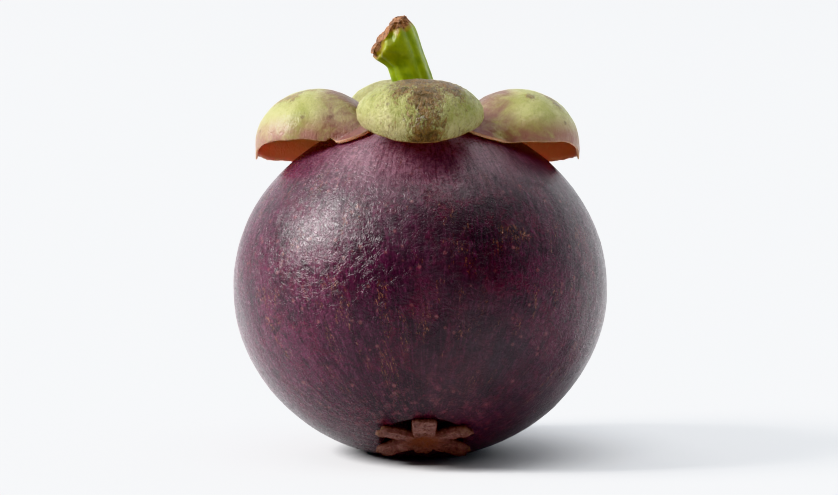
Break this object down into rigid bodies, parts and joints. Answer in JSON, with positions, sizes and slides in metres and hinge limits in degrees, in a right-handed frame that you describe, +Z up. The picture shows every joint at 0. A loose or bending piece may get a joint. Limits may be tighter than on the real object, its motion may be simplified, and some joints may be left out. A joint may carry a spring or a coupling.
{
  "type": "mangosteen",
  "caption": "Whole fresh mangosteen with a smooth dark purple rind, domed green sepals, a short leaning stalk with a torn end, and a woody stigma rosette low on the front.",
  "frame": {"origin": "middle of the small flat spot that the fruit stands on", "axes": "+Z up through the fruit; -Y is the front, the side that the rosette leans towards; the stalk leans towards -X"},
  "size_m": [0.062, 0.062, 0.0722],
  "materials": {
    "rind": "waxy, finely wrinkled, soft sheen",
    "stigma": "dry, woody, matte",
    "stalk": "fresh green, ridged, satin, with a dry brown torn end",
    "sepal": "yellow-green, mottled with russet, finely wrinkled, satin"
  },
  "bodies": {
    "root": {"rind": "rind", "stigma_rosette": "stigma", "stalk": "stalk", "sepal_left": "sepal", "sepal_right": "sepal", "sepal_front": "sepal", "sepal_back": "sepal"}
  },
  "joints": []
}
